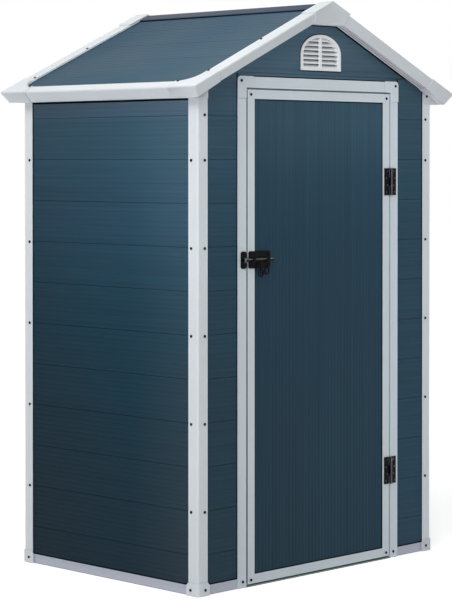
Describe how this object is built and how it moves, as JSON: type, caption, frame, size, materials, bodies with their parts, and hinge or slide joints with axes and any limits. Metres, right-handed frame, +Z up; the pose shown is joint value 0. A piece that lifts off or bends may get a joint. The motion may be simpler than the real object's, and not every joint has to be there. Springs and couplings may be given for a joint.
{
  "type": "plastic garden shed",
  "caption": "Small gable-roof garden shed of ribbed plastic panels in white trims, with a side-hung door, a barrel bolt and louvred gable vents.",
  "frame": {"origin": "middle of the base, on the ground", "axes": "+X to the right across the front, the door faces -Y, +Z up"},
  "size_m": [1.2802, 0.9606, 1.9043],
  "materials": {
    "wall_panel": "ribbed satin",
    "roof_panel": "ribbed satin",
    "white_trim": "satin",
    "dark_sill": "matt",
    "black_steel": "black paint"
  },
  "bodies": {
    "shed": {"base_rails_front": "white_trim", "base_rails_side": "white_trim", "base_rail_back": "white_trim", "door_sill": "dark_sill", "base_caps_front": "white_trim", "base_caps_back": "white_trim", "post_front_left": "white_trim", "post_front_right": "white_trim", "post_back_left": "white_trim", "post_back_right": "white_trim", "wall_left": "wall_panel", "wall_right": "wall_panel", "wall_back": "wall_panel", "gable_back": "wall_panel", "wall_front_left": "wall_panel", "wall_front_right": "wall_panel", "gable_front": "wall_panel", "vent_front": "white_trim", "vent_back": "white_trim", "jamb_left": "white_trim", "jamb_right": "white_trim", "header": "white_trim", "header_caps": "white_trim", "roof_panel_left": "roof_panel", "roof_panel_right": "roof_panel", "ridge_strip": "roof_panel", "rake_trims_left": "white_trim", "rake_trims_right": "white_trim", "eave_trim_left": "white_trim", "eave_trim_right": "white_trim", "corner_cap_front_left": "white_trim", "corner_cap_front_right": "white_trim", "corner_cap_back_left": "white_trim", "corner_cap_back_right": "white_trim", "peak_cap_front": "white_trim", "peak_cap_back": "white_trim", "hinge_frame_leaves": "black_steel", "bolt_keeper": "black_steel"},
    "door": {"door_panel": "wall_panel", "door_stile_left": "white_trim", "door_stile_right": "white_trim", "door_rails": "white_trim", "hinge_door_leaves": "black_steel", "bolt_plate": "black_steel"},
    "bolt": {"bolt_rod": "black_steel"}
  },
  "joints": [
    {"name": "door_swing", "type": "hinge", "parent": "shed", "child": "door", "pos_m": [0.3537, -0.4305, 0.8], "axis": [0, 0, 1], "range_deg": [0, 110]},
    {"name": "bolt_slide", "type": "slide", "parent": "door", "child": "bolt", "axis": [-1, 0, 0], "range_m": [0, 0.014]}
  ]
}
